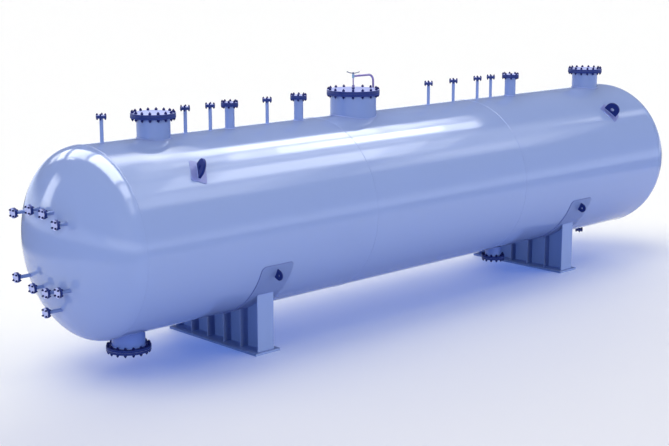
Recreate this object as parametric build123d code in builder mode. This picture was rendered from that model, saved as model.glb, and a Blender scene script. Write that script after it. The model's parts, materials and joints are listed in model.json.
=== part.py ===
"""A horizontal settling tank on two saddles, in millimetres.

The tank lies along X and stands on the ground at Z = 0. The origin is the centre of the left
saddle's base plate, on the ground. The side that faces -Y is called the near side. Necks with
blind flanges stand along the crown, on the left head and under the belly. Bolts, nuts and weld
beads are not made here.
"""
import os
from collections import namedtuple
from math import asin, cos, degrees, radians, sin, sqrt

from build123d import *

# vessel
SHELL_DIAMETER = 3000
SHELL_WALL = 16
TANGENT_LENGTH = 13240
HEAD_DEPTH = 750
HEAD_FLAT = 20
AXIS_HEIGHT = 2040
LEFT_COURSE = 4743
RIGHT_COURSE = 4493

# where one piece seats round another, the two stay this far apart
SEAT_GAP = 0.3

# nozzles: inset from the shell's left end or its right end, and reach of the blind's outer face
# from the shell, or from the shell's left end for those on the left head
LEFT_SMALL_INSETS = (294, 1878, 2383, 3600)
RIGHT_SMALL_INSETS = (5618, 4908, 4198, 3792)
SMALL_REACH = 424
BELLY_SMALL_INSET = 648
BELLY_SMALL_REACH = 145
INLET_INSETS = (2789, 4313)
INLET_REACH = 427
OUTLET_INSET = 3178
OUTLET_REACH = 420
DRAIN_INSET = 3590
DRAIN_REACH = 285
LEFT_MANWAY_INSET = 1253
RIGHT_MANWAY_INSET = 654
MANWAY_REACH = 383
MIDDLE_MANWAY_INSET = 5629
MIDDLE_MANWAY_REACH = 433
BELLY_MANWAY_INSET = 660
BELLY_MANWAY_REACH = 312
GAUGE_REACH = 880
GAUGE_PLACES = (
    (698, 486), (251, 594), (-120, 585), (-452, 470),
    (698, -512), (251, -601), (-120, -606), (-452, -537), (-97, -910),
)
GASKET = 3
GASKET_SETBACK = 1
NECK_SETBACK = 6
NECK_INSIDE = 5

# saddles
SADDLE_SPACING = 8090
BASE_LENGTH = 2280
BASE_WIDTH = 520
BASE_PLATE = 40
WEB_PLATE = 20
RIB_PLATE = 20
RIB_WIDTH = 340
RIB_COUNT = 6
RIB_SETBACK = 55
WEAR_PLATE = 12
WEAR_WIDTH = 660
WEAR_WRAP = 140
WEAR_CORNER = 80
ANCHOR_HOLE = 30
ANCHOR_SLOT = 60
ANCHOR_SPACING_X = 260

# lugs: the lifting lugs stand evenly about a point that is this shift right of the tank's middle
LUG_INSET = 1250
LUG_SHIFT = 45
LUG_ANGLE = 45.7
LUG_TURN = 25
LUG_WIDTH = 290
LUG_PLATE = 40
LUG_EYE = 80
LUG_EYE_HEIGHT = 90
LUG_ALLOWANCE = 40
LUG_PAD = 12
LUG_PAD_LENGTH = 400
LUG_PAD_WIDTH = 260
LUG_PAD_CORNER = 32
SADDLE_LUG_ANGLE = -26
SADDLE_LUG_WIDTH = 160
SADDLE_LUG_PLATE = 20
SADDLE_LUG_EYE = 40
SADDLE_LUG_EYE_HEIGHT = 72

# lifting arm on the middle manway
ARM_OFFSET = 505
ARM_PIPE = 38
ARM_PIPE_WALL = 4
ARM_HEIGHT = 232
ARM_BEND = 120
SOCKET_PIPE = 56
SOCKET_FLOOR = 10
SOCKET_LENGTH = 190
SOCKET_BRACKET = 12
SLEEVE_DIAMETER = 42
SLEEVE_LENGTH = 66
SCREW_DIAMETER = 22
BOSS_DIAMETER = 52
BOSS_HEIGHT = 38
HANDLE_SPAN = 230
HANDLE_TURN = 44
HANDLE_RISE = 28
HANDLE_BAR = 16
HUB_DIAMETER = 34
HUB_HEIGHT = 28
HUB_GAP = 6

# worked out from the sizes above
SHELL_RADIUS = SHELL_DIAMETER / 2
INNER_RADIUS = SHELL_RADIUS - SHELL_WALL
MIDDLE = SADDLE_SPACING / 2
LEFT_END = MIDDLE - TANGENT_LENGTH / 2
RIGHT_END = MIDDLE + TANGENT_LENGTH / 2
NEAR_MIRROR = Plane.XZ

NozzleSize = namedtuple(
    "NozzleSize", "neck neck_wall flange flange_plate blind bolt_circle bolt_count bolt_hole first_bolt"
)
Nozzle = namedtuple("Nozzle", "size face depth")

SMALL = NozzleSize(57, 5, 160, 21, 21, 125, 4, 18, 45)
INLET = NozzleSize(159, 7, 283, 30, 30, 240, 8, 22, 0)
OUTLET = NozzleSize(219, 8, 335, 30, 30, 295, 8, 22, 0)
DRAIN = NozzleSize(325, 10, 460, 32, 33, 410, 12, 26, 0)
MANWAY = NozzleSize(530, 12, 710, 36, 38, 650, 16, 26, 0)
WIDE_MANWAY = NozzleSize(820, 12, 940, 42, 44, 880, 16, 26, 0)


def cross_plane(x):
    """The plane across the tank at x, centred on the tank's axis, with its normal along +X."""
    return Plane(origin=(x, 0, AXIS_HEIGHT), x_dir=(0, 1, 0), z_dir=(1, 0, 0))


def shell_nozzle(size, x, reach, up=True):
    """A nozzle on the crown, or under the belly, that stands out of the shell by its reach."""
    side = 1 if up else -1
    neck_radius = size.neck / 2
    root = SHELL_RADIUS - sqrt(INNER_RADIUS**2 - neck_radius**2) + NECK_INSIDE
    height = AXIS_HEIGHT + side * (SHELL_RADIUS + reach)
    face = Plane(origin=(x, 0, height), x_dir=(1, 0, 0), z_dir=(0, 0, side))
    return Nozzle(size, face, reach + root)


def gauge_nozzle(y, z):
    """A small nozzle on the left head, parallel to the tank's axis."""
    far_radius = sqrt(y**2 + z**2) + SMALL.neck / 2
    bulge = (HEAD_DEPTH - SHELL_WALL) * sqrt(1 - (far_radius / INNER_RADIUS) ** 2)
    face = Plane(origin=(LEFT_END - GAUGE_REACH, y, AXIS_HEIGHT + z), x_dir=(0, 1, 0), z_dir=(-1, 0, 0))
    return Nozzle(SMALL, face, GAUGE_REACH - bulge + NECK_INSIDE)


left_manway = shell_nozzle(MANWAY, LEFT_END + LEFT_MANWAY_INSET, MANWAY_REACH)
right_manway = shell_nozzle(MANWAY, RIGHT_END - RIGHT_MANWAY_INSET, MANWAY_REACH)
middle_manway = shell_nozzle(WIDE_MANWAY, LEFT_END + MIDDLE_MANWAY_INSET, MIDDLE_MANWAY_REACH)
belly_manway = shell_nozzle(MANWAY, LEFT_END + BELLY_MANWAY_INSET, BELLY_MANWAY_REACH, up=False)
small_nozzles = [shell_nozzle(SMALL, LEFT_END + inset, SMALL_REACH) for inset in LEFT_SMALL_INSETS]
small_nozzles += [shell_nozzle(SMALL, RIGHT_END - inset, SMALL_REACH) for inset in RIGHT_SMALL_INSETS]
small_nozzles.append(shell_nozzle(SMALL, RIGHT_END - BELLY_SMALL_INSET, BELLY_SMALL_REACH, up=False))
process_nozzles = [shell_nozzle(INLET, LEFT_END + inset, INLET_REACH) for inset in INLET_INSETS]
process_nozzles.append(shell_nozzle(OUTLET, RIGHT_END - OUTLET_INSET, OUTLET_REACH))
process_nozzles.append(shell_nozzle(DRAIN, RIGHT_END - DRAIN_INSET, DRAIN_REACH, up=False))
gauge_nozzles = [gauge_nozzle(y, z) for y, z in GAUGE_PLACES]
manways = [left_manway, middle_manway, right_manway, belly_manway]
shell_nozzles = manways + small_nozzles + process_nozzles

os.makedirs("parts", exist_ok=True)


def make_shell_course(label, start, end):
    """One rolled course of the shell, with a hole for each neck that passes through it."""
    with BuildPart() as course:
        with BuildSketch(cross_plane(start)):
            Circle(SHELL_RADIUS)
            Circle(INNER_RADIUS, mode=Mode.SUBTRACT)
        extrude(amount=end - start)
        for nozzle in shell_nozzles:
            with BuildSketch(nozzle.face):
                Circle(nozzle.size.neck / 2 + SEAT_GAP)
            extrude(amount=-nozzle.depth, mode=Mode.SUBTRACT)
    course.part.label = label
    export_step(course.part, f"parts/{label}.step")


def make_head(label, end, side, nozzles):
    """A dished head, half an ellipsoid, with the small flat that spinning leaves at its crown."""
    profile = Plane(origin=(end, 0, AXIS_HEIGHT), x_dir=(side, 0, 0), z_dir=(0, -side, 0))
    outer_start = degrees(asin(HEAD_FLAT / 2 / SHELL_RADIUS))
    inner_start = degrees(asin(HEAD_FLAT / 2 / INNER_RADIUS))
    inner_depth = HEAD_DEPTH - SHELL_WALL
    with BuildPart() as head:
        with BuildSketch(profile):
            with BuildLine():
                outer = EllipticalCenterArc((0, 0), HEAD_DEPTH, SHELL_RADIUS, outer_start, arc_size=90 - outer_start)
                inner = EllipticalCenterArc((0, 0), inner_depth, INNER_RADIUS, inner_start, arc_size=90 - inner_start)
                Line(outer @ 1, inner @ 1)
                Polyline(outer @ 0, ((outer @ 0).X, 0), ((inner @ 0).X, 0), inner @ 0)
            make_face()
        revolve(axis=Axis((0, 0, AXIS_HEIGHT), (1, 0, 0)), revolution_arc=360)
        if nozzles:
            with BuildSketch(cross_plane(end - GAUGE_REACH)):
                with Locations(*[(nozzle.face.origin.Y, nozzle.face.origin.Z - AXIS_HEIGHT) for nozzle in nozzles]):
                    Circle(SMALL.neck / 2 + SEAT_GAP)
            extrude(amount=HEAD_DEPTH, mode=Mode.SUBTRACT)
    head.part.label = label
    export_step(head.part, f"parts/{label}.step")


def make_necks(label, nozzles):
    """Round necks, from just inside the wall to just behind the sealing face."""
    with BuildPart() as necks:
        for nozzle in nozzles:
            size = nozzle.size
            top = size.blind + GASKET + NECK_SETBACK
            with BuildSketch(nozzle.face.offset(-nozzle.depth)):
                Circle(size.neck / 2)
                Circle(size.neck / 2 - size.neck_wall, mode=Mode.SUBTRACT)
            extrude(amount=nozzle.depth - top)
    necks.part.label = label
    export_step(necks.part, f"parts/{label}.step")


def make_flanges(label, nozzles):
    """Slip-on flange rings round the necks, with their bolt holes."""
    with BuildPart() as flanges:
        for nozzle in nozzles:
            size = nozzle.size
            with BuildSketch(nozzle.face.offset(-size.blind - GASKET)):
                Circle(size.flange / 2)
                Circle(size.neck / 2 + SEAT_GAP, mode=Mode.SUBTRACT)
                with PolarLocations(size.bolt_circle / 2, size.bolt_count, size.first_bolt):
                    Circle(size.bolt_hole / 2, mode=Mode.SUBTRACT)
            extrude(amount=-size.flange_plate)
    flanges.part.label = label
    export_step(flanges.part, f"parts/{label}.step")


def make_gaskets(label, nozzles):
    """Flat rings between each flange and its blind, inside the bolts."""
    with BuildPart() as gaskets:
        for nozzle in nozzles:
            size = nozzle.size
            with BuildSketch(nozzle.face.offset(-size.blind - GASKET)):
                Circle((size.bolt_circle - size.bolt_hole) / 2 - GASKET_SETBACK)
                Circle(size.neck / 2, mode=Mode.SUBTRACT)
            extrude(amount=GASKET)
    gaskets.part.label = label
    export_step(gaskets.part, f"parts/{label}.step")


def make_blinds(label, nozzles, boss=False):
    """Blind plates that close the nozzles, with the same bolt holes as their flanges."""
    with BuildPart() as blinds:
        for nozzle in nozzles:
            size = nozzle.size
            with BuildSketch(nozzle.face):
                Circle(size.flange / 2)
                with PolarLocations(size.bolt_circle / 2, size.bolt_count, size.first_bolt):
                    Circle(size.bolt_hole / 2, mode=Mode.SUBTRACT)
            extrude(amount=-size.blind)
            if boss:
                with BuildSketch(nozzle.face):
                    Circle(BOSS_DIAMETER / 2)
                extrude(amount=BOSS_HEIGHT)
    blinds.part.label = label
    export_step(blinds.part, f"parts/{label}.step")


def make_saddle_base(label, x, slotted):
    """The base plate, with four anchor holes, slotted along the tank on the sliding saddle."""
    rib_step = (BASE_LENGTH - 2 * RIB_SETBACK - RIB_PLATE) / (RIB_COUNT - 1)
    anchor_spacing_y = BASE_LENGTH - 2 * RIB_SETBACK - RIB_PLATE - rib_step
    with BuildPart() as base:
        with BuildSketch(Plane.XY):
            with Locations((x, 0)):
                Rectangle(BASE_WIDTH, BASE_LENGTH)
            with Locations((x, 0)):
                with GridLocations(ANCHOR_SPACING_X, anchor_spacing_y, 2, 2):
                    if slotted:
                        SlotOverall(ANCHOR_SLOT, ANCHOR_HOLE, mode=Mode.SUBTRACT)
                    else:
                        Circle(ANCHOR_HOLE / 2, mode=Mode.SUBTRACT)
        extrude(amount=BASE_PLATE)
    base.part.label = label
    export_step(base.part, f"parts/{label}.step")


def make_saddle_web(label, x):
    """The upright plate across the tank, hollowed to the wear plate."""
    web_length = BASE_LENGTH - 2 * RIB_SETBACK - 2 * RIB_PLATE
    with BuildPart() as web:
        with BuildSketch(cross_plane(x)):
            with Locations((0, (BASE_PLATE - AXIS_HEIGHT) / 2)):
                Rectangle(web_length, AXIS_HEIGHT - BASE_PLATE)
            Circle(SHELL_RADIUS + WEAR_PLATE + SEAT_GAP, mode=Mode.SUBTRACT)
            # what is left above the arc at the two ends is cut level with the outer ribs
            with Locations((0, -web_top() / 2)):
                Rectangle(web_length, web_top(), mode=Mode.SUBTRACT)
        extrude(amount=WEB_PLATE / 2, both=True)
    web.part.label = label
    export_step(web.part, f"parts/{label}.step")


def web_top():
    """How far below the axis the wear plate meets the inner face of the outer ribs."""
    half_length = BASE_LENGTH / 2 - RIB_SETBACK - RIB_PLATE
    return sqrt((SHELL_RADIUS + WEAR_PLATE) ** 2 - half_length**2)


def make_saddle_ribs(label, x):
    """Full-width end ribs, and pairs of inner ribs on both sides of the web."""
    end_rib = BASE_LENGTH / 2 - RIB_SETBACK - RIB_PLATE / 2
    rib_step = 2 * end_rib / (RIB_COUNT - 1)
    inner_width = (RIB_WIDTH - WEB_PLATE) / 2
    inner_place = (RIB_WIDTH + WEB_PLATE) / 4
    with BuildPart() as ribs:
        with BuildSketch(Plane.XY.offset(BASE_PLATE)):
            with Locations((x, -end_rib), (x, end_rib)):
                Rectangle(RIB_WIDTH, RIB_PLATE)
            for index in range(1, RIB_COUNT - 1):
                y = -end_rib + index * rib_step
                with Locations((x - inner_place, y), (x + inner_place, y)):
                    Rectangle(inner_width, RIB_PLATE)
        extrude(amount=AXIS_HEIGHT - BASE_PLATE)
        with BuildSketch(cross_plane(x)):
            Circle(SHELL_RADIUS + WEAR_PLATE + SEAT_GAP)
        extrude(amount=RIB_WIDTH, both=True, mode=Mode.SUBTRACT)
    ribs.part.label = label
    export_step(ribs.part, f"parts/{label}.step")


def make_wear_plate(label, x):
    """The curved plate between the saddle and the shell, with rounded corners."""
    with BuildPart() as plate:
        with BuildSketch(cross_plane(x)):
            with BuildLine():
                start = -90 - WEAR_WRAP / 2
                outer = CenterArc((0, 0), SHELL_RADIUS + WEAR_PLATE, start, WEAR_WRAP)
                inner = CenterArc((0, 0), SHELL_RADIUS + SEAT_GAP, start, WEAR_WRAP)
                Line(outer @ 0, inner @ 0)
                Line(outer @ 1, inner @ 1)
            make_face()
        extrude(amount=WEAR_WIDTH / 2, both=True)
        corners = plate.edges().filter_by(GeomType.LINE).filter_by(lambda edge: edge.length < WEAR_PLATE + 1)
        fillet(corners, WEAR_CORNER)
    plate.part.label = label
    export_step(plate.part, f"parts/{label}.step")


def lug_plane(x, angle, turn, radius):
    """An upright plane through a point of the near side, with its local Y pointing out of the shell.

    The angle is measured up from the horizontal, and turn swings the plane about the outward
    direction, so that its upper end leans towards the middle of the tank.
    """
    out = Vector(0, -cos(radians(angle)), sin(radians(angle)))
    along_wall = Vector(0, sin(radians(angle)), cos(radians(angle)))
    towards_middle = Vector(1, 0, 0)
    sideways = along_wall * cos(radians(turn)) + towards_middle * sin(radians(turn))
    origin = Vector(x, 0, AXIS_HEIGHT) + out * radius
    return Plane(origin=origin, x_dir=sideways, z_dir=sideways.cross(out))


def make_lugs(label, plane, end_mirror, width, plate, eye, eye_height, seat_radius):
    """Four like round-topped lugs with an eye, seated on a curved plate."""
    # the blank runs past its seat by the allowance, and is then trimmed to the curve
    with BuildPart() as lugs:
        with BuildSketch(plane):
            with Locations((0, eye_height)):
                Circle(width / 2)
            with Locations((0, (eye_height - LUG_ALLOWANCE) / 2)):
                Rectangle(width, eye_height + LUG_ALLOWANCE)
            with Locations((0, eye_height)):
                Circle(eye / 2, mode=Mode.SUBTRACT)
        extrude(amount=plate / 2, both=True)
        with BuildSketch(cross_plane(plane.origin.X)):
            Circle(seat_radius)
        extrude(amount=width, both=True, mode=Mode.SUBTRACT)
        mirror(about=NEAR_MIRROR)
        mirror(about=end_mirror)
    lugs.part.label = label
    export_step(lugs.part, f"parts/{label}.step")


def make_lug_pads(label, plane, end_mirror):
    """Four curved pads under the lifting lugs."""
    # the pad's outline lies on the plane that touches the shell under the lug
    outline = Plane(origin=plane.origin, x_dir=plane.x_dir, z_dir=plane.y_dir)
    with BuildPart() as pads:
        with BuildSketch(cross_plane(plane.origin.X)):
            Circle(SHELL_RADIUS + LUG_PAD)
            Circle(SHELL_RADIUS + SEAT_GAP, mode=Mode.SUBTRACT)
        extrude(amount=LUG_PAD_LENGTH, both=True)
        with BuildSketch(outline):
            RectangleRounded(LUG_PAD_LENGTH, LUG_PAD_WIDTH, LUG_PAD_CORNER)
        extrude(amount=LUG_PAD_LENGTH / 2, both=True, mode=Mode.INTERSECT)
        mirror(about=NEAR_MIRROR)
        mirror(about=end_mirror)
    pads.part.label = label
    export_step(pads.part, f"parts/{label}.step")


make_shell_course("left_shell_course", LEFT_END, LEFT_END + LEFT_COURSE)
make_shell_course("middle_shell_course", LEFT_END + LEFT_COURSE, RIGHT_END - RIGHT_COURSE)
make_shell_course("right_shell_course", RIGHT_END - RIGHT_COURSE, RIGHT_END)
make_head("left_head", LEFT_END, -1, gauge_nozzles)
make_head("right_head", RIGHT_END, 1, [])

for name, nozzle in (
    ("left_manway", left_manway),
    ("middle_manway", middle_manway),
    ("right_manway", right_manway),
    ("belly_manway", belly_manway),
):
    make_necks(f"{name}_neck", [nozzle])
    make_flanges(f"{name}_flange", [nozzle])
    make_blinds(f"{name}_cover", [nozzle], boss=nozzle is middle_manway)
for name, nozzles in (
    ("small_nozzle", small_nozzles),
    ("process_nozzle", process_nozzles),
    ("gauge_nozzle", gauge_nozzles),
):
    make_necks(f"{name}_necks", nozzles)
    make_flanges(f"{name}_flanges", nozzles)
    make_blinds(f"{name}_blinds", nozzles)
make_gaskets("gaskets", shell_nozzles + gauge_nozzles)

for side, x in (("left", 0), ("right", SADDLE_SPACING)):
    make_saddle_base(f"{side}_saddle_base", x, slotted=side == "right")
    make_saddle_web(f"{side}_saddle_web", x)
    make_saddle_ribs(f"{side}_saddle_ribs", x)
    make_wear_plate(f"{side}_wear_plate", x)

lifting_mirror = Plane.YZ.offset(MIDDLE + LUG_SHIFT)
lifting_plane = lug_plane(LEFT_END + LUG_INSET + LUG_SHIFT, LUG_ANGLE, LUG_TURN, SHELL_RADIUS)
make_lug_pads("lifting_lug_pads", lifting_plane, lifting_mirror)
make_lugs(
    "lifting_lugs", lifting_plane, lifting_mirror, LUG_WIDTH, LUG_PLATE, LUG_EYE, LUG_EYE_HEIGHT,
    SHELL_RADIUS + LUG_PAD + SEAT_GAP,
)
saddle_mirror = Plane.YZ.offset(MIDDLE)
saddle_lug_plane = lug_plane(0, SADDLE_LUG_ANGLE, 0, SHELL_RADIUS + WEAR_PLATE)
make_lugs(
    "saddle_lugs", saddle_lug_plane, saddle_mirror, SADDLE_LUG_WIDTH, SADDLE_LUG_PLATE, SADDLE_LUG_EYE,
    SADDLE_LUG_EYE_HEIGHT, SHELL_RADIUS + WEAR_PLATE + SEAT_GAP,
)

# the lifting arm: a bent pipe in a socket beside the middle manway, and a screw over its centre
cover = middle_manway.face
cover_top = cover.origin.Z
arm_x = cover.origin.X + ARM_OFFSET
flange_back = cover_top - WIDE_MANWAY.blind - GASKET - WIDE_MANWAY.flange_plate
socket_top = flange_back + WIDE_MANWAY.flange_plate / 2
socket_bottom = socket_top - SOCKET_LENGTH

with BuildPart() as arm_socket:
    with BuildSketch(Plane.XY.offset(socket_bottom)):
        with Locations((arm_x, 0)):
            Circle(SOCKET_PIPE / 2)
    extrude(amount=SOCKET_LENGTH)
    with BuildSketch(Plane.XY.offset(socket_bottom)):
        with Locations((arm_x - ARM_OFFSET / 4, 0)):
            Rectangle(ARM_OFFSET / 2, SOCKET_BRACKET)
    extrude(amount=flange_back - socket_bottom - SOCKET_BRACKET)
    with BuildSketch(Plane.XY.offset(socket_bottom)):
        with Locations((cover.origin.X, 0)):
            Circle(WIDE_MANWAY.neck / 2 + SEAT_GAP)
    extrude(amount=SOCKET_LENGTH, mode=Mode.SUBTRACT)
    with BuildSketch(Plane.XY.offset(socket_bottom + SOCKET_FLOOR)):
        with Locations((arm_x, 0)):
            Circle(ARM_PIPE / 2 + SEAT_GAP)
    extrude(amount=SOCKET_LENGTH, mode=Mode.SUBTRACT)
arm_socket.part.label = "arm_socket"
export_step(arm_socket.part, "parts/arm_socket.step")

arm_z = cover_top + ARM_HEIGHT
arm_start = (arm_x, 0, socket_bottom + SOCKET_FLOOR)
with BuildPart() as lifting_arm:
    with BuildLine() as arm_path:
        FilletPolyline(arm_start, (arm_x, 0, arm_z), (cover.origin.X, 0, arm_z), radius=ARM_BEND)
    with BuildSketch(Plane.XY.offset(socket_bottom + SOCKET_FLOOR)):
        with Locations((arm_x, 0)):
            Circle(ARM_PIPE / 2)
            Circle(ARM_PIPE / 2 - ARM_PIPE_WALL, mode=Mode.SUBTRACT)
    sweep()
    with BuildSketch(Plane.XY.offset(arm_z)):
        with Locations((cover.origin.X, 0)):
            Circle(SLEEVE_DIAMETER / 2 + SEAT_GAP)
    extrude(amount=SLEEVE_LENGTH, both=True, mode=Mode.SUBTRACT)
lifting_arm.part.label = "lifting_arm"
export_step(lifting_arm.part, "parts/lifting_arm.step")

with BuildPart() as arm_sleeve:
    with BuildSketch(cover.offset(ARM_HEIGHT)):
        Circle(SLEEVE_DIAMETER / 2)
        Circle(SCREW_DIAMETER / 2 + SEAT_GAP, mode=Mode.SUBTRACT)
    extrude(amount=SLEEVE_LENGTH / 2, both=True)
arm_sleeve.part.label = "arm_sleeve"
export_step(arm_sleeve.part, "parts/arm_sleeve.step")

screw_top = ARM_HEIGHT + SLEEVE_LENGTH / 2 + HUB_GAP
with BuildPart() as lifting_screw:
    with BuildSketch(cover.offset(BOSS_HEIGHT)):
        Circle(SCREW_DIAMETER / 2)
    extrude(amount=screw_top - BOSS_HEIGHT)
lifting_screw.part.label = "lifting_screw"
export_step(lifting_screw.part, "parts/lifting_screw.step")

bar_middle = cover.origin + Vector(0, 0, screw_top + HUB_HEIGHT / 2)
bar_rise = Vector(0, 0, HANDLE_RISE)
half_bar = Vector(cos(radians(HANDLE_TURN)), -sin(radians(HANDLE_TURN)), 0) * (HANDLE_SPAN / 2)
with BuildPart() as screw_handle:
    with BuildSketch(cover.offset(screw_top)):
        Circle(HUB_DIAMETER / 2)
    extrude(amount=HUB_HEIGHT)
    with BuildLine() as bar_path:
        ThreePointArc(bar_middle - half_bar + bar_rise, bar_middle, bar_middle + half_bar + bar_rise)
    with BuildSketch(Plane(origin=bar_path.line @ 0, z_dir=bar_path.line % 0)):
        Circle(HANDLE_BAR / 2)
    sweep()
screw_handle.part.label = "screw_handle"
export_step(screw_handle.part, "parts/screw_handle.step")
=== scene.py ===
"""A horizontal settling tank: its paint, bolts and weld beads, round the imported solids.

Lengths are in metres. The origin is on the ground under the left saddle, +X runs along the tank
and the near side faces -Y.
"""
import json
from collections import namedtuple
from math import cos, hypot, pi, radians, sin, sqrt

import bmesh
import bpy
from mathutils import Matrix, Vector, noise

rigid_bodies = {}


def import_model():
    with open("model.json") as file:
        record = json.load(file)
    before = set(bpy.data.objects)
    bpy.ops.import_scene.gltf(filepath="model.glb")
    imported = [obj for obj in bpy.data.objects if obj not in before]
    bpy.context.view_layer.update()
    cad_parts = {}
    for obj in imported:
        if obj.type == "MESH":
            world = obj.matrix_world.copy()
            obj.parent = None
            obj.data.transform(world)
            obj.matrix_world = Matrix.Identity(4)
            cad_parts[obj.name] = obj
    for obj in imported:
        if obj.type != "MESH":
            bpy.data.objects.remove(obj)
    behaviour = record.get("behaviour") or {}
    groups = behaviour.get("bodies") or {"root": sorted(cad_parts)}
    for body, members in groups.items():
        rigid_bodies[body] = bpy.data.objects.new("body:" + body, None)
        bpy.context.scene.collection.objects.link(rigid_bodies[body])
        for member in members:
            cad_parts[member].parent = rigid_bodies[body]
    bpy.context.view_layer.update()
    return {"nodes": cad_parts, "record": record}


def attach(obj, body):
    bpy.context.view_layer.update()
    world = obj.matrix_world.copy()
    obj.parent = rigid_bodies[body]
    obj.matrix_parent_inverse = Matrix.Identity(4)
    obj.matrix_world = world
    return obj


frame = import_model()
nodes = frame["nodes"]

# the vessel, as its solids have it
AXIS = 2.040
RADIUS = 1.500
MIDDLE = 4.045
TANGENT = 6.620
LEFT_END = MIDDLE - TANGENT
RIGHT_END = MIDDLE + TANGENT
HEAD_DEPTH = 0.750
COURSE_SEAMS = (MIDDLE - 1.877, MIDDLE + 2.127)
GAUGE_REACH = 0.880
GASKET = 0.003

# the saddles
SADDLES = {"left": 0.0, "right": 8.090}
BASE_PLATE = 0.040
WEB_PLATE = 0.020
WEAR_PLATE = 0.012
WEAR_WIDTH = 0.660
WEAR_WRAP = radians(140)
WEAR_CORNER = 0.080
RIB_PLATE = 0.020
RIB_WIDTH = 0.340
RIB_COUNT = 6
END_RIB = 1.075

# the lugs: angle above the horizontal, turn about the way out of the shell, and foot
LUG_ANGLE = 45.7
LUG_TURN = 25
LUG_PLACE = -1.280
LUG_MIDDLE = MIDDLE + 0.045
LUG_FOOT = (0.290, 0.040)
LUG_PAD = (0.400, 0.260)
LUG_PAD_PLATE = 0.012
LUG_PAD_CORNER = 0.032
SADDLE_LUG_ANGLE = -26
SADDLE_LUG_FOOT = (0.160, 0.020)
FOOT_CORNER = 0.003

# neck and flange radii, thickness of the flange and of the blind, radius of the bolt circle,
# number of bolts, angle of the first bolt and stud diameter
Size = namedtuple("Size", "neck flange plate blind circle bolts first stud")
SMALL = Size(0.0285, 0.080, 0.021, 0.021, 0.0625, 4, 45, 0.016)
INLET = Size(0.0795, 0.1415, 0.030, 0.030, 0.120, 8, 0, 0.020)
OUTLET = Size(0.1095, 0.1675, 0.030, 0.030, 0.1475, 8, 0, 0.020)
DRAIN = Size(0.1625, 0.230, 0.032, 0.033, 0.205, 12, 0, 0.024)
MANWAY = Size(0.265, 0.355, 0.036, 0.038, 0.325, 16, 0, 0.024)
WIDE_MANWAY = Size(0.410, 0.470, 0.042, 0.044, 0.440, 16, 0, 0.024)

# a nozzle's sizes, the centre of its blind's outer face, and the way that face looks
Nozzle = namedtuple("Nozzle", "size face way")
UP = Vector((0, 0, 1))
DOWN = Vector((0, 0, -1))
LEFT = Vector((-1, 0, 0))
RIGHT = Vector((1, 0, 0))


def crown(size, place, reach):
    """A nozzle on top, so far along from the tank's middle, its face at this reach over the shell."""
    return Nozzle(size, Vector((MIDDLE + place, 0, AXIS + RADIUS + reach)), UP)


def belly(size, place, reach):
    """A nozzle underneath, with its place and reach given in the same way."""
    return Nozzle(size, Vector((MIDDLE + place, 0, AXIS - RADIUS - reach)), DOWN)


MANWAYS = {
    "left": crown(MANWAY, -5.367, 0.383),
    "middle": crown(WIDE_MANWAY, -0.991, 0.433),
    "right": crown(MANWAY, 5.966, 0.383),
    "belly": belly(MANWAY, -5.960, 0.312),
}
SMALL_NOZZLES = [
    crown(SMALL, place, 0.424)
    for place in (-6.326, -4.742, -4.237, -3.020, 1.002, 1.712, 2.422, 2.828)
]
SMALL_NOZZLES.append(belly(SMALL, 5.972, 0.145))
PROCESS_NOZZLES = [
    crown(INLET, -3.831, 0.427),
    crown(INLET, -2.307, 0.427),
    crown(OUTLET, 3.442, 0.420),
    belly(DRAIN, 3.030, 0.285),
]
GAUGE_NOZZLES = [
    Nozzle(SMALL, Vector((LEFT_END - GAUGE_REACH, y, AXIS + z)), LEFT)
    for y, z in (
        (0.698, 0.486), (0.251, 0.594), (-0.120, 0.585), (-0.452, 0.470),
        (0.698, -0.512), (0.251, -0.601), (-0.120, -0.606), (-0.452, -0.537), (-0.097, -0.910),
    )
]
SHELL_NOZZLES = [*MANWAYS.values(), *SMALL_NOZZLES, *PROCESS_NOZZLES]


# shader nodes

def tone(*levels):
    """A colour as a shader wants it, from three screen levels of 0 to 255."""
    return tuple(((level / 255 + 0.055) / 1.055) ** 2.4 for level in levels) + (1,)


def add(tree, kind, feeds, **settings):
    """A new node, with numbers, colours or other nodes' outputs fed to its sockets by name or place."""
    node = tree.nodes.new("ShaderNode" + kind)
    for name, value in settings.items():
        setattr(node, name, value)
    for socket, value in feeds.items():
        if isinstance(value, bpy.types.NodeSocket):
            tree.links.new(value, node.inputs[socket])
        else:
            node.inputs[socket].default_value = value
    return node


def maths(tree, operation, *values):
    """The outcome of one operation on numbers or other nodes' outputs."""
    return add(tree, "Math", dict(enumerate(values)), operation=operation).outputs[0]


def blended(tree, share, first, second):
    """The first colour at a share of 0, the second at 1."""
    return add(tree, "Mix", {"Factor": share, 6: first, 7: second}, data_type="RGBA").outputs[2]


def either(tree, share, first, second):
    """The first shader at a share of 0, the second at 1."""
    return add(tree, "MixShader", {"Fac": share, 1: first, 2: second}).outputs[0]


def soft_step(tree, value, start, end, first=0.0, last=1.0):
    """A soft change from the first number to the last, while a value goes from start to end."""
    feeds = {"Value": value, "From Min": start, "From Max": end, "To Min": first, "To Max": last}
    return add(tree, "MapRange", feeds, interpolation_type="SMOOTHSTEP").outputs["Result"]


# finishes

# how fine the film's faded patches, dust, waves and orange peel are, and how deep the last two
FADE_SCALE = 0.7
DUST_SCALE = 9
WAVE_SCALE = 1.3
PEEL_SCALE = 230
WAVE_DEPTH = 0.006
PEEL_DEPTH = 0.0003


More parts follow.
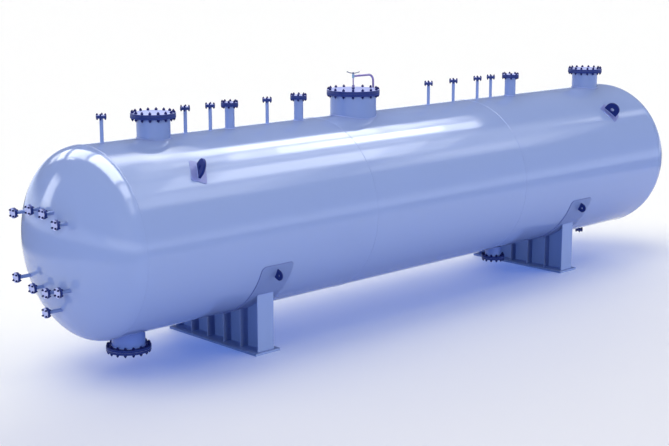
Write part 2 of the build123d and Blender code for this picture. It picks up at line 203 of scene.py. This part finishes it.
def film_group():
    """Sprayed paint on plates that aren't quite flat: soft changes of tone, faint dust, orange peel."""
    group = bpy.data.node_groups.new("sprayed film", "ShaderNodeTree")
    for name, kind in (
        ("Coordinates", "Vector"), ("Paint", "Color"), ("Faded", "Color"), ("Tone Change", "Float"),
        ("Gloss", "Float"), ("Gloss Change", "Float"), ("Peel", "Float"), ("Waviness", "Float"),
    ):
        group.interface.new_socket(name, in_out="INPUT", socket_type="NodeSocket" + kind)
    for name, kind in (("Color", "Color"), ("Roughness", "Float"), ("Normal", "Vector")):
        group.interface.new_socket(name, in_out="OUTPUT", socket_type="NodeSocket" + kind)
    given = group.nodes.new("NodeGroupInput").outputs
    result = group.nodes.new("NodeGroupOutput").inputs

    def speckle(scale, detail):
        feeds = {"Vector": given["Coordinates"], "Scale": scale, "Detail": detail}
        return add(group, "TexNoise", feeds).outputs["Fac"]

    fade = maths(group, "MULTIPLY", speckle(FADE_SCALE, detail=4), given["Tone Change"])
    colour = blended(group, fade, given["Paint"], given["Faded"])
    dust = speckle(DUST_SCALE, detail=6)
    rough = maths(group, "MULTIPLY_ADD", dust, given["Gloss Change"], given["Gloss"])
    wave = add(group, "Bump", {
        "Distance": WAVE_DEPTH, "Strength": given["Waviness"], "Height": speckle(WAVE_SCALE, detail=1),
    })
    skin = add(group, "Bump", {
        "Distance": PEEL_DEPTH, "Strength": given["Peel"], "Height": speckle(PEEL_SCALE, detail=2),
        "Normal": wave.outputs["Normal"],
    })
    group.links.new(colour, result["Color"])
    group.links.new(rough, result["Roughness"])
    group.links.new(skin.outputs["Normal"], result["Normal"])
    return group


SPRAYED = film_group()
# a face that looks along a way by more than this share is flat to it
FLAT_TO = 0.9
# what hangs under the belly is lower than this, and is painted darker for the tank's shade
BELLY_HEIGHT = AXIS - RADIUS + 0.1


def paint(
    name, colour, faded, gloss=0.2, change=0.05, tone_change=0.3, peel=0.15, waviness=0.0, shine=0.5,
    rim=None, low=None,
):
    """A painted finish, its colours in screen levels.

    rim gives a way, and the colour of the faces that aren't flat to it. low is a painted shade:
    the darker colour painted on what hangs under the belly, for the tank's own shade.
    """
    material = bpy.data.materials.new(name)
    material.use_nodes = True
    tree = material.node_tree
    place = add(tree, "TexCoord", {}).outputs["Object"]
    film = add(tree, "Group", {
        "Coordinates": place, "Paint": tone(*colour), "Faded": tone(*faded), "Tone Change": tone_change,
        "Gloss": gloss, "Gloss Change": change, "Peel": peel, "Waviness": waviness,
    }, node_tree=SPRAYED)
    shown = film.outputs["Color"]
    if rim:
        way, rim_colour = rim
        looks = add(tree, "NewGeometry", {}).outputs["True Normal"]
        along = add(tree, "VectorMath", {0: looks, 1: way}, operation="DOT_PRODUCT").outputs["Value"]
        flat = maths(tree, "GREATER_THAN", maths(tree, "ABSOLUTE", along), FLAT_TO)
        shown = blended(tree, flat, tone(*rim_colour), shown)
    # painted shade: below the belly height the paint turns to the darker low colour, for the tank's shade
    if low:
        height = add(tree, "SeparateXYZ", {0: place}).outputs["Z"]
        shown = blended(tree, maths(tree, "LESS_THAN", height, BELLY_HEIGHT), shown, tone(*low))
    shader = tree.nodes["Principled BSDF"]
    shader.inputs["Specular IOR Level"].default_value = shine
    tree.links.new(shown, shader.inputs["Base Color"])
    tree.links.new(film.outputs["Roughness"], shader.inputs["Roughness"])
    tree.links.new(film.outputs["Normal"], shader.inputs["Normal"])
    return material


NAVY = (26, 42, 110)
shell_paint = paint(
    "shell paint", (133, 152, 208), (140, 158, 211), gloss=0.07, change=0.04, waviness=0.25,
)
# the necks are the shell's blue painted darker, a painted shade for the flanges over them, and under the
# belly darker still, a painted shade for the tank
neck_paint = paint("neck paint", (106, 127, 187), (114, 135, 191), gloss=0.22, low=(90, 116, 198))
flange_paint = paint("flange paint", NAVY, (40, 58, 130), gloss=0.45, change=0.12, peel=0.3, shine=0.2)
blind_paint = paint(
    "blind paint", (158, 167, 224), (170, 178, 230), gloss=0.35, shine=0.3, rim=(UP, NAVY),
)
gauge_blind_paint = paint(
    "gauge blind paint", (170, 178, 232), (184, 190, 238), gloss=0.35, shine=0.3, rim=(RIGHT, NAVY),
)
gasket_rubber = paint("gasket rubber", (22, 26, 60), (36, 40, 80), gloss=0.7, peel=0.6, shine=0.3)
lug_paint = paint("lug paint", (20, 34, 100), (32, 48, 120), gloss=0.5, change=0.12, peel=0.3, shine=0.1)
pad_paint = paint("pad paint", (96, 106, 176), (108, 118, 184), gloss=0.36, change=0.1, peel=0.3)
# the saddles are the shell's blue painted darker, a painted shade for the shadow under the tank; the stand
# lamp is raised to light their near faces back up
saddle_paint = paint(
    "saddle paint", (112, 130, 186), (122, 140, 192), gloss=0.3, change=0.1, peel=0.25, shine=0.3,
)
arm_paint = paint("arm paint", (108, 98, 160), (120, 110, 170), gloss=0.35, peel=0.3, shine=0.3)
sleeve_paint = paint("sleeve paint", (110, 150, 190), (120, 158, 196), gloss=0.3, peel=0.3, shine=0.3)
handle_paint = paint("handle paint", (84, 92, 124), (98, 106, 136), gloss=0.35, peel=0.3, shine=0.3)
bolt_steel = paint(
    "bolt steel", (12, 18, 76), (24, 32, 100), gloss=0.5, change=0.2, peel=0.6, tone_change=0.6, shine=0.15,
)
weld_paint = paint("weld paint", (106, 124, 188), (122, 140, 198), gloss=0.36, change=0.2, peel=0.6)
dark_weld_paint = paint("dark weld paint", (78, 94, 160), (92, 108, 172), gloss=0.4, change=0.2, peel=0.6)

SLOT_FINISHES = {
    "shell_paint": shell_paint, "neck_paint": neck_paint, "flange_paint": flange_paint,
    "cover_paint": blind_paint, "gasket": gasket_rubber, "lug_paint": lug_paint,
    "saddle_paint": saddle_paint, "arm_paint": arm_paint,
}
NODE_FINISHES = {
    "gauge_nozzle_blinds": gauge_blind_paint, "lifting_lug_pads": pad_paint, "arm_sleeve": sleeve_paint,
    "screw_handle": handle_paint,
}
for part in frame["record"]["subparts"]:
    solid = nodes[part["node"]]
    solid.data.materials.clear()
    solid.data.materials.append(NODE_FINISHES.get(part["node"], SLOT_FINISHES[part["material_slot"]]))


# pieces

SHARP_ANGLE = 38


def finished(name, bm, material):
    """Turns a bmesh into a smooth piece that stands on the tank, in the given material."""
    mesh = bpy.data.meshes.new(name)
    bm.to_mesh(mesh)
    bm.free()
    mesh.shade_smooth()
    mesh.set_sharp_from_angle(angle=radians(SHARP_ANGLE))
    mesh.materials.append(material)
    piece = bpy.data.objects.new(name, mesh)
    bpy.context.scene.collection.objects.link(piece)
    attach(piece, "root")
    return piece


def facing(way):
    """A turn that carries +Z onto the given way."""
    return UP.rotation_difference(way).to_matrix().to_4x4()


# bolts

# width across flats and height of the nut, outer diameter and thickness of the washer, thread pitch
Nut = namedtuple("Nut", "flats height washer plate pitch")
NUTS = {
    0.016: Nut(0.027, 0.016, 0.030, 0.003, 0.0020),
    0.020: Nut(0.034, 0.020, 0.037, 0.003, 0.0025),
    0.024: Nut(0.041, 0.024, 0.044, 0.004, 0.0030),
}
STUD_SIDES = 12
WASHER_SIDES = 20
# a stud's reach past its nut in diameters, its thread's root and its tip as shares of its radius
STUD_PAST_NUT = 0.6
THREAD_ROOT = 0.88
TIP = 0.80
# a nut's chamfer as a share of its height
NUT_CHAMFER = 0.14
# heights this close are the same
SAME_HEIGHT = 1e-6


def edges_among(verts):
    """The edges that join these vertices to each other."""
    linked = dict.fromkeys(edge for vert in verts for edge in vert.link_edges)
    return [edge for edge in linked if all(vert in verts for vert in edge.verts)]


def drum(bm, sides, radius, middle, depth):
    """An upright prism round the line of the stud, its middle at this height."""
    return bmesh.ops.create_cone(
        bm, cap_ends=True, segments=sides, radius1=radius, radius2=radius, depth=depth,
        matrix=Matrix.Translation((0, 0, middle)),
    )


def stud_end(bm, stud, start, end, pitch):
    """The threaded end of a stud, with a ridge for each turn of its thread and a chamfered tip."""
    ring = bmesh.ops.create_circle(
        bm, cap_ends=False, segments=STUD_SIDES, radius=stud / 2, matrix=Matrix.Translation((0, 0, start)),
    )
    rim = edges_among(ring["verts"])
    turns = max(1, round(abs(end - start) / pitch))
    half_step = (end - start) / turns / 2
    for turn in range(turns):
        for share in (THREAD_ROOT, 1.0):
            if turn == turns - 1 and share == 1.0:
                share = TIP
            grown = bmesh.ops.extrude_edge_only(bm, edges=rim)["geom"]
            verts = [item for item in grown if isinstance(item, bmesh.types.BMVert)]
            rim = edges_among(verts)
            for vert in verts:
                flat = Vector((vert.co.x, vert.co.y, 0)).normalized() * stud / 2 * share
                vert.co = (flat.x, flat.y, vert.co.z + half_step)
    bmesh.ops.contextual_create(bm, geom=rim)


def bolt_set(stud, grip):
    """An upright stud with a nut and a washer at each end. Its seats are at 0 and one grip below."""
    nut = NUTS[stud]
    bm = bmesh.new()
    for seat, side in ((0, 1), (-grip, -1)):
        drum(bm, WASHER_SIDES, nut.washer / 2, seat + side * nut.plate / 2, nut.plate)
        low = seat + side * nut.plate
        top = low + side * nut.height
        hexagon = drum(bm, 6, nut.flats / sqrt(3), (low + top) / 2, nut.height)
        corners = [vert for vert in hexagon["verts"] if abs(vert.co.z - top) < SAME_HEIGHT]
        bmesh.ops.bevel(
            bm, geom=edges_among(corners), offset=nut.height * NUT_CHAMFER, segments=1, profile=0.5,
            affect="EDGES", material=-1,
        )
        stud_end(bm, stud, top, top + side * STUD_PAST_NUT * stud, nut.pitch)
    bmesh.ops.recalc_face_normals(bm, faces=bm.faces[:])
    master = bpy.data.meshes.new("bolt set")
    bm.to_mesh(master)
    bm.free()
    return master


def bolts(name, nozzles):
    """The bolt sets of these nozzles' flanges, each nut turned a little its own way."""
    bm = bmesh.new()
    masters = {}
    for nozzle in nozzles:
        size = nozzle.size
        key = (size.stud, size.blind + GASKET + size.plate)
        if key not in masters:
            masters[key] = bolt_set(*key)
        for count in range(size.bolts):
            turn = radians(size.first) + 2 * pi * count / size.bolts
            spot = Matrix.Translation((size.circle * cos(turn), size.circle * sin(turn), 0))
            twist = Matrix.Rotation(noise.random() * pi / 3, 4, "Z")
            placed = masters[key].copy()
            placed.transform(Matrix.Translation(nozzle.face) @ facing(nozzle.way) @ spot @ twist)
            bm.from_mesh(placed)
            bpy.data.meshes.remove(placed)
    return finished(name, bm, bolt_steel)


noise.seed_set(7)
for name, nozzle in MANWAYS.items():
    bolts(f"{name}_manway_bolts", [nozzle])
bolts("small_nozzle_bolts", SMALL_NOZZLES)
bolts("process_nozzle_bolts", PROCESS_NOZZLES)
bolts("gauge_nozzle_bolts", GAUGE_NOZZLES)


# welds

# how far apart the points of a bead are, and the fewest that a ring has
STEP = 0.009
COARSE_STEP = 0.014
NECK_STEP = 0.006
GAUGE_STEP = 0.005
FEWEST_IN_RING = 24
# how much a bead's thickness ripples and drifts, and how fast
RIPPLE = 0.10
RIPPLE_TURN = 2.1
DRIFT = 0.12
DRIFT_SCALE = 9
# vertices this close are merged
MERGE = 1e-5


def beads(name, runs, material=weld_paint):
    """Weld beads along runs of points, each with its own thickness, rippled as the hand leaves them."""
    curve = bpy.data.curves.new(name, "CURVE")
    curve.dimensions = "3D"
    curve.bevel_depth = 1.0
    curve.bevel_resolution = 2
    curve.use_fill_caps = True
    for thickness, closed, points in runs:
        spline = curve.splines.new("POLY")
        spline.points.add(len(points) - 1)
        for index, (spot, place) in enumerate(zip(spline.points, points)):
            spot.co = (*place, 1)
            ripple = RIPPLE * sin(index * RIPPLE_TURN)
            drift = DRIFT * noise.noise(Vector(place) * DRIFT_SCALE)
            spot.radius = thickness * (1 + ripple + drift)
        spline.use_cyclic_u = closed
    line = bpy.data.objects.new(name + " line", curve)
    bpy.context.scene.collection.objects.link(line)
    mesh = bpy.data.meshes.new_from_object(line.evaluated_get(bpy.context.evaluated_depsgraph_get()))
    bpy.data.objects.remove(line)
    bm = bmesh.new()
    bm.from_mesh(mesh)
    bpy.data.meshes.remove(mesh)
    bmesh.ops.remove_doubles(bm, verts=bm.verts[:], dist=MERGE)
    bmesh.ops.recalc_face_normals(bm, faces=bm.faces[:])
    return finished(name, bm, material)


def ring(centre, way, radius, step=STEP):
    """Points round a circle about a line through the centre."""
    count = max(FEWEST_IN_RING, round(2 * pi * radius / step))
    turn = Matrix.Translation(centre) @ facing(way)
    angles = [2 * pi * index / count for index in range(count)]
    return [turn @ Vector((radius * cos(angle), radius * sin(angle), 0)) for angle in angles]


def straight(start, end, step=COARSE_STEP):
    """Points from one place to another."""
    start, end = Vector(start), Vector(end)
    count = max(2, round((end - start).length / step))
    return [start.lerp(end, index / count) for index in range(count + 1)]


def on_shell(point, side, proud):
    """The point above or below this one where the shell's face is, and a little proud of it."""
    reach = sqrt((RADIUS + proud) ** 2 - point.y ** 2)
    return Vector((point.x, point.y, AXIS + side * reach))


def on_head(point, proud):
    """The point beside this one on the left head's face, and a little proud of it."""
    share = 1 - (hypot(point.y, point.z - AXIS) / (RADIUS + proud)) ** 2
    return Vector((LEFT_END - (HEAD_DEPTH + proud) * sqrt(share), point.y, point.z))


def wrapped(x, around, height):
    """The point at x along the tank, so far around it from its lowest line, at a height over the shell."""
    reach = RADIUS + height
    return Vector((x, reach * sin(around / RADIUS), AXIS - reach * cos(around / RADIUS)))


def rounded_outline(width, length, corner, step=STEP):
    """Points round a rectangle with rounded corners, centred at 0."""
    points = []
    for quarter in range(4):
        side = Vector((width, length)) / 2 if quarter % 2 == 0 else Vector((length, width)) / 2
        turn = Matrix.Rotation(quarter * pi / 2, 2)
        centre = side - Vector((corner, corner))
        count = max(3, round(corner * pi / 2 / step))
        angles = [pi / 2 * index / count for index in range(count + 1)]
        arc = [centre + corner * Vector((cos(angle), sin(angle))) for angle in angles]
        run = 2 * centre.x
        steps = max(1, round(run / step))
        arc += [arc[-1] - Vector((run * index / steps, 0)) for index in range(1, steps)]
        points += [turn @ point for point in arc]
    return points


def four_places(points, middle):
    """These points, their mirror image on the far side, and those of the other end."""
    for near in (1, -1):
        yield [Vector((point.x, near * point.y, point.z)) for point in points]
        yield [Vector((2 * middle - point.x, near * point.y, point.z)) for point in points]


def round_foot(x, angle, turn, foot, corner, height):
    """Points round a foot whose middle lies on the near side, at this angle above the horizontal."""
    out = Vector((0, -cos(radians(angle)), sin(radians(angle))))
    along_wall = Vector((0, sin(radians(angle)), cos(radians(angle))))
    sideways = along_wall * cos(radians(turn)) + RIGHT * sin(radians(turn))
    across = sideways.cross(out)
    origin = Vector((x, 0, AXIS)) + out * RADIUS
    points = []
    for flat in rounded_outline(*foot, corner):
        point = origin + sideways * flat.x + across * flat.y
        arm = Vector((0, point.y, point.z - AXIS))
        depth = arm.dot(out) - sqrt(arm.dot(out) ** 2 - arm.length_squared + (RADIUS + height) ** 2)
        points.append(point - out * depth)
    return points


# the thickness of each kind of bead
SEAM = 0.009
FILLET = 0.006
NECK_FILLET = 0.010
SMALL_FILLET = 0.006
FLANGE_FILLET = 0.007
SMALL_FLANGE_FILLET = 0.004
WEAR_FILLET = 0.007
LUG_FILLET = 0.008
SADDLE_LUG_FILLET = 0.005
# how deep the middles of the seams lie under the shell's face
HEAD_SEAM_DEPTH = 0.0055
COURSE_SEAM_DEPTH = 0.0050
# how far the middle of a neck's bead lies out from the neck, and how far it is proud of the shell
NECK_OUT = 0.002
NECK_PROUD = 0.001
# how high the middles of these beads lie over the shell
WEAR_BEAD_HEIGHT = 0.004
PAD_BEAD_HEIGHT = 0.003


def seams(name, places, depth):
    """Girth seams at these places along the shell, their middles this deep under its face."""
    rings = [ring(Vector((x, 0, AXIS)), RIGHT, RADIUS - depth) for x in places]
    beads(name, [(SEAM, True, points) for points in rings], material=shell_paint)


def saddle_beads(x):
    """The fillets that join a saddle's web, ribs and base, and join them to the wear plate."""
    outer = RADIUS + WEAR_PLATE
    web_end = END_RIB - RIB_PLATE / 2
    rib_step = 2 * END_RIB / (RIB_COUNT - 1)
    runs = []
    for side in (-1, 1):
        face = x + side * WEB_PLATE / 2
        runs.append(straight((face, -web_end, BASE_PLATE), (face, web_end, BASE_PLATE)))
        steps = round(2 * web_end / COARSE_STEP)
        ways = [-web_end + 2 * web_end * index / steps for index in range(steps + 1)]
        runs.append([Vector((face, y, AXIS - sqrt(outer ** 2 - y ** 2))) for y in ways])
        for rib in range(1, RIB_COUNT - 1):
            for rib_side in (-1, 1):
                y = -END_RIB + rib * rib_step + rib_side * RIB_PLATE / 2
                top = AXIS - sqrt(outer ** 2 - y ** 2)
                rim = x + side * RIB_WIDTH / 2
                runs.append(straight((face, y, BASE_PLATE), (face, y, top)))
                runs.append(straight((face, y, BASE_PLATE), (rim, y, BASE_PLATE)))
                runs.append(straight((face, y, top), (rim, y, top)))
    for end in (-1, 1):
        for rib_side in (-1, 1):
            y = end * END_RIB + rib_side * RIB_PLATE / 2
            top = AXIS - sqrt(outer ** 2 - y ** 2)
            for height in (BASE_PLATE, top):
                runs.append(straight((x - RIB_WIDTH / 2, y, height), (x + RIB_WIDTH / 2, y, height)))
    return [(FILLET, False, run) for run in runs]


seams("head_seams", (LEFT_END, RIGHT_END), HEAD_SEAM_DEPTH)
seams("course_seams", COURSE_SEAMS, COURSE_SEAM_DEPTH)
beads("nozzle_welds", [
    (SMALL_FILLET if nozzle.size is SMALL else NECK_FILLET, True, [
        on_shell(point, nozzle.way.z, NECK_PROUD)
        for point in ring(nozzle.face, nozzle.way, nozzle.size.neck + NECK_OUT, NECK_STEP)
    ])
    for nozzle in SHELL_NOZZLES
])
beads("gauge_welds", [
    (SMALL_FILLET, True, [
        on_head(point, NECK_PROUD)
        for point in ring(nozzle.face, nozzle.way, SMALL.neck + NECK_OUT, GAUGE_STEP)
    ])
    for nozzle in GAUGE_NOZZLES
])
beads("flange_welds", [
    (SMALL_FLANGE_FILLET if nozzle.size is SMALL else FLANGE_FILLET, True, ring(
        nozzle.face - nozzle.way * (nozzle.size.blind + GASKET + nozzle.size.plate), nozzle.way,
        nozzle.size.neck, NECK_STEP,
    ))
    for nozzle in SHELL_NOZZLES + GAUGE_NOZZLES
])
wear_outline = rounded_outline(WEAR_WIDTH, WEAR_WRAP * RADIUS, WEAR_CORNER)
for name, x in SADDLES.items():
    wear_run = [wrapped(x + point.x, point.y, WEAR_BEAD_HEIGHT) for point in wear_outline]
    beads(
        f"{name}_wear_plate_weld", [(WEAR_FILLET, True, wear_run)],
        material=dark_weld_paint,
    )
    beads(f"{name}_saddle_welds", saddle_beads(x))
pad_run = round_foot(LUG_PLACE, LUG_ANGLE, LUG_TURN, LUG_PAD, LUG_PAD_CORNER, PAD_BEAD_HEIGHT)
lug_run = round_foot(LUG_PLACE, LUG_ANGLE, LUG_TURN, LUG_FOOT, FOOT_CORNER, LUG_PAD_PLATE)
saddle_lug_run = round_foot(0, SADDLE_LUG_ANGLE, 0, SADDLE_LUG_FOOT, FOOT_CORNER, WEAR_PLATE)
for name, thickness, run, middle in (
    ("pad_welds", LUG_FILLET, pad_run, LUG_MIDDLE),
    ("lug_welds", LUG_FILLET, lug_run, LUG_MIDDLE),
    ("saddle_lug_welds", SADDLE_LUG_FILLET, saddle_lug_run, MIDDLE),
):
    beads(name, [(thickness, True, points) for points in four_places(run, middle)])


# the floor

FLOOR_RADIUS = 400
FLOOR_SIDES = 96
# the sheet that the gloss shows: half its length and width, and as shares of them, where it ends and
# where the horizon begins
SHEET_REACH = (15.0, 9.5)
SHEET_EDGE = (0.92, 1.12)
HORIZON_EDGE = (1.9, 2.8)
GAP_TINT = (0.80, 0.87, 1.0, 1)
GAP_LEVEL = 0.30
HORIZON_LEVEL = 1.5
# the painted shadow, a darker patch in front of the tank: its middle, half its length and width, and where
# it ends
PAINTED_SHADOW_MIDDLE = (1.5, -9.0, 0)
PAINTED_SHADOW_REACH = (16.5, 12.5)
PAINTED_SHADOW_EDGE = (0.62, 0.98)
PAINTED_SHADOW_COLOUR = (0.78, 0.72, 0.43, 1)
# in full light the sheet's own colour and its glow make white, and in the shade the glow stays, blue
SHEET_COLOUR = (0.95, 0.88, 0.52, 1)
GLOW = (0.05, 0.12, 0.48, 1)
# the colour that the dull part of the paint gets back from the floor
BOUNCE = (0.49, 0.57, 0.84, 1)


def matt(tree, colour, glow=None):
    """A dull shader of one colour, which may also glow."""
    feeds = {"Base Color": colour, "Roughness": 1.0, "Specular IOR Level": 0.0}
    if glow:
        feeds["Emission Color"] = glow
        feeds["Emission Strength"] = 1.0
    return add(tree, "BsdfPrincipled", feeds).outputs[0]


def outward(tree, place, middle, reach):
    """How far out a place on the floor is from the middle of an ellipse, with 1 at its edge."""
    feeds = {"Vector": place, "Location": middle, "Scale": (*reach, 1)}
    shape = add(tree, "Mapping", feeds, vector_type="TEXTURE")
    return add(tree, "VectorMath", {0: shape.outputs[0]}, operation="LENGTH").outputs["Value"]


def floor_finish():
    """White, with a painted shadow that makes it a little darker in front of the tank, and a blue shadow.

    To the gloss of the paint it ends some metres out, in a dim gap below the bright horizon, and to
    the dull part of the paint it gives back bluish light.
    """
    material = bpy.data.materials.new("studio floor")
    material.use_nodes = True
    tree = material.node_tree
    place = add(tree, "TexCoord", {}).outputs["Object"]
    # painted shadow: inside the patch in front of the tank the floor takes a darker colour
    past_painted_shadow = soft_step(tree, outward(tree, place, PAINTED_SHADOW_MIDDLE, PAINTED_SHADOW_REACH), *PAINTED_SHADOW_EDGE)
    seen = matt(tree, blended(tree, past_painted_shadow, PAINTED_SHADOW_COLOUR, SHEET_COLOUR), glow=GLOW)
    out = outward(tree, place, (MIDDLE, 0, 0), SHEET_REACH)
    level = soft_step(tree, out, *HORIZON_EDGE, GAP_LEVEL, HORIZON_LEVEL)
    gap = add(tree, "Emission", {"Color": GAP_TINT, "Strength": level}).outputs[0]
    path = add(tree, "LightPath", {}).outputs
    past_sheet = maths(tree, "MULTIPLY", path["Is Glossy Ray"], soft_step(tree, out, *SHEET_EDGE))
    glossy = either(tree, past_sheet, seen, gap)
    dull = either(tree, path["Is Diffuse Ray"], glossy, matt(tree, BOUNCE))
    tree.links.new(dull, tree.nodes["Material Output"].inputs["Surface"])
    tree.nodes.remove(tree.nodes["Principled BSDF"])
    return material


bm = bmesh.new()
bmesh.ops.create_circle(bm, cap_ends=True, segments=FLOOR_SIDES, radius=FLOOR_RADIUS)
floor_mesh = bpy.data.meshes.new("floor")
bm.to_mesh(floor_mesh)
bm.free()
floor_mesh.materials.append(floor_finish())
floor = bpy.data.objects.new("floor", floor_mesh)
bpy.context.scene.collection.objects.link(floor)


# the light

SKY_TINT = (0.80, 0.88, 1.0, 1)
SKY_LEVEL = 0.28
HORIZON_HEIGHT = 0.10
WHITE = (1, 1, 1, 1)


def studio_world():
    """White to the camera, and a dim sky with a bright horizon to the gloss. It lights nothing."""
    world = bpy.data.worlds.new("studio")
    world.use_nodes = True
    tree = world.node_tree
    unlit = tree.nodes["Background"]
    unlit.inputs["Strength"].default_value = 0.0
    way = add(tree, "TexCoord", {}).outputs["Generated"]
    level = add(tree, "MapRange", {
        "Value": add(tree, "SeparateXYZ", {0: way}).outputs["Z"], "From Max": HORIZON_HEIGHT,
        "To Min": HORIZON_LEVEL, "To Max": SKY_LEVEL,
    }).outputs["Result"]
    sky = add(tree, "Background", {"Color": SKY_TINT, "Strength": level}).outputs[0]
    backdrop = add(tree, "Background", {"Color": WHITE, "Strength": 1.0}).outputs[0]
    path = add(tree, "LightPath", {}).outputs
    unseen = either(tree, path["Is Glossy Ray"], unlit.outputs[0], sky)
    shown = either(tree, path["Is Camera Ray"], unseen, backdrop)
    tree.links.new(shown, tree.nodes["World Output"].inputs["Surface"])
    return world


bpy.context.scene.world = studio_world()

# the groups that have lamps of their own
ground = bpy.data.collections.new("ground")
ground.objects.link(floor)
stand = bpy.data.collections.new("stand")
tank = bpy.data.collections.new("tank")
STAND_WORDS = ("saddle_base", "saddle_web", "saddle_ribs", "saddle_welds")
for item in bpy.context.scene.objects:
    if item.type == "MESH" and item is not floor:
        group = stand if item.name.endswith(STAND_WORDS) else tank
        group.objects.link(item)

LAMP_DISTANCE = 50
WARM = (1.0, 1.0, 0.86)
COOL = (0.6, 0.8, 1.0)


def wide_lamp(name, up, round_from_x, share, lights, spread=46, tint=(1, 1, 1), shadow=True):
    """A wide soft lamp far off, for the dull part of one group of pieces.

    It stands so many degrees up from the ground and round from +X, and doesn't show in the gloss.
    """
    lamp = bpy.data.lights.new(name, "SUN")
    lamp.use_shadow = shadow
    lamp.angle = radians(spread)
    lamp.energy = pi * share
    lamp.color = tint
    box = bpy.data.objects.new(name, lamp)
    turn = radians(round_from_x)
    way = Vector((cos(radians(up)) * cos(turn), cos(radians(up)) * sin(turn), sin(radians(up))))
    box.rotation_euler = way.to_track_quat("Z", "Y").to_euler()
    box.location = way * LAMP_DISTANCE
    box.visible_glossy = False
    box.light_linking.receiver_collection = lights
    bpy.context.scene.collection.objects.link(box)


wide_lamp("floor key lamp", 14, 45, 0.53, ground, spread=38)
wide_lamp("floor right lamp", 14, 15, 0.42, ground, spread=38)
wide_lamp("floor back lamp", 26, 135, 0.23, ground)
wide_lamp("floor left lamp", 45, 180, 0.09, ground)
wide_lamp("floor front lamp", 45, 315, 0.21, ground)
wide_lamp("floor upper back lamp", 70, 90, 0.24, ground)
wide_lamp("floor upper left lamp", 70, 180, 0.24, ground)
wide_lamp("near left lamp", 10, 225, 0.90, tank, tint=WARM)
wide_lamp("near right lamp", 14, 315, 0.43, tank, tint=WARM)
wide_lamp("far right lamp", 30, 45, 0.72, tank)
wide_lamp("far left lamp", 14, 135, 0.25, tank, tint=WARM)
wide_lamp("top lamp", 75, 90, 0.57, tank, spread=90)
wide_lamp("stand lamp", 10, 282, 1.32, stand, tint=WARM)
wide_lamp("stand fill lamp", 20, 190, 0.36, stand, tint=COOL, shadow=False)

PANEL_HEIGHT = AXIS + 6
PANEL_TINT = (0.94, 0.97, 1.0)
PANEL_BOXES = 3
BOX_STEP = 0.01


def panel(name, centre, size, radiance, soft=(0.5, 0.3), turn=0.0, tilt=0.0, height=PANEL_HEIGHT):
    """A light panel that only the gloss shows, level or stood up. Boxes in each other soften its edges."""
    turned = Matrix.Rotation(radians(turn), 4, "Z") @ Matrix.Rotation(radians(tilt), 4, "X")
    for step in range(PANEL_BOXES):
        lamp = bpy.data.lights.new(name, "AREA")
        lamp.shape = "RECTANGLE"
        lamp.size = size[0] + soft[0] * (1 - step)
        lamp.size_y = size[1] + soft[1] * (1 - step)
        lamp.energy = radiance / PANEL_BOXES * pi * lamp.size * lamp.size_y
        lamp.color = PANEL_TINT
        box = bpy.data.objects.new(name, lamp)
        place = Matrix.Translation((MIDDLE + centre[0], centre[1], height))
        box.matrix_world = place @ turned @ Matrix.Translation((0, 0, BOX_STEP * step))
        box.visible_diffuse = False
        box.visible_camera = False
        bpy.context.scene.collection.objects.link(box)


# over the shell, placed from the middle of the tank
panel("far strip", (1.2, 0.72), (5.4, 1.05), 11.0, soft=(2.0, 0.4))
panel("far strip start", (-2.6, 1.45), (2.4, 2.1), 5.2, soft=(1.0, 0.9))
panel("far strip end", (5.3, 0.72), (2.4, 1.05), 5.0, soft=(1.6, 0.4))
panel("crown strip", (3.2, -0.52), (5.2, 1.05), 15.0, soft=(2.6, 0.4))
panel("crown strip start", (-1.2, -0.55), (3.4, 1.1), 4.2, soft=(1.5, 0.5))
panel("crown wash", (1.4, -1.7), (9.0, 0.9), 3.2, soft=(2.4, 0.5))
panel("near strip", (1.7, -3.12), (7.4, 1.95), 6.6, soft=(2.6, 0.5))
panel("low wash", (-0.2, -5.7), (6.0, 2.9), 2.7, soft=(2.4, 1.0))
panel("low strip", (8.5, -5.5), (7.0, 2.4), 2.5, soft=(3.0, 1.2))
panel("right wash", (8.4, -3.0), (5.4, 2.2), 1.1, soft=(1.5, 0.8))
panel("right strip", (12.6, -2.75), (6.0, 0.9), 2.0, soft=(2.0, 0.5))
# over the left head and beside it
panel("end panel", (-6.3, 0.10), (3.4, 4.6), 13.5, soft=(0.4, 0.3))
panel("end panel, far", (-6.7, 4.95), (3.0, 4.2), 7.5, soft=(0.4, 0.4))
panel("end panel, farther", (-6.4, 10.1), (3.6, 3.4), 5.8, soft=(0.5, 0.5))
panel("far wash", (-6.0, 15.4), (3.0, 6.6), 2.6, soft=(1.0, 0.8))
panel("end panel, near", (-6.0, -3.7), (3.2, 2.2), 7.4, soft=(0.6, 0.4))
panel("near wash", (-6.2, -6.8), (3.2, 3.6), 2.8, soft=(1.2, 0.8))
panel("inner line", (-8.5, 5.9), (0.5, 2.0), 7.0, soft=(0.1, 0.6))
panel("far window", (-16.85, 17.5), (3.6, 6.6), 4.2, soft=(0.6, 1.6), turn=209, tilt=90, height=7.0)
panel("near window", (-31.7, -31.5), (75.0, 6.4), 1.1, soft=(3.0, 1.2), turn=-38, tilt=90, height=4.2)


# the camera

bpy.context.scene.view_settings.view_transform = "Standard"
camera = bpy.data.cameras.new("camera")
camera.sensor_fit = "HORIZONTAL"
camera.sensor_width = 36
camera.lens = 71.715
camera.clip_end = 1000
eye = bpy.data.objects.new("camera", camera)
eye.location = (-13.610, -16.757, 6.392)
eye.rotation_euler = (radians(78.423), 0, radians(-44.037))
bpy.context.scene.collection.objects.link(eye)
bpy.context.scene.camera = eye
